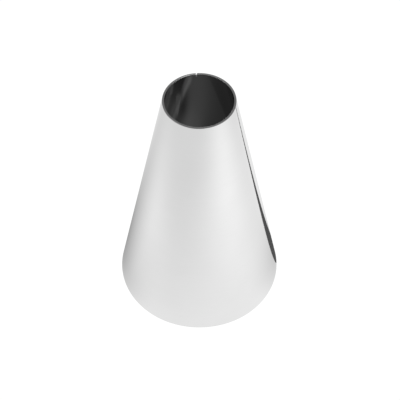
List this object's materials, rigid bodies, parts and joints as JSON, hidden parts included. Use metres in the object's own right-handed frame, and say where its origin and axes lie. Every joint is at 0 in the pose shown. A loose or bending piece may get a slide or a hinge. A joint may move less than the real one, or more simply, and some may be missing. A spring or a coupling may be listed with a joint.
{
  "type": "piping nozzle",
  "caption": "Plain round piping nozzle: a polished steel sheet rolled into an open cone and closed by one straight weld, for piping dough or icing.",
  "frame": {"origin": "centre of the base rim's plane, on the cone's axis", "axes": "+Z along the cone's axis from the wide base towards the tip opening; the weld seam lies in the +Y half of the YZ plane"},
  "size_m": [0.0324, 0.0324, 0.0508],
  "materials": {
    "polished_sheet": "polished stainless steel with fine tumbled scratches and freshly ground rims",
    "weld_metal": "stainless weld metal, dressed flush with both faces and polished over"
  },
  "bodies": {
    "root": {"rolled_wall": "polished_sheet", "seam_weld": "weld_metal"}
  },
  "joints": []
}
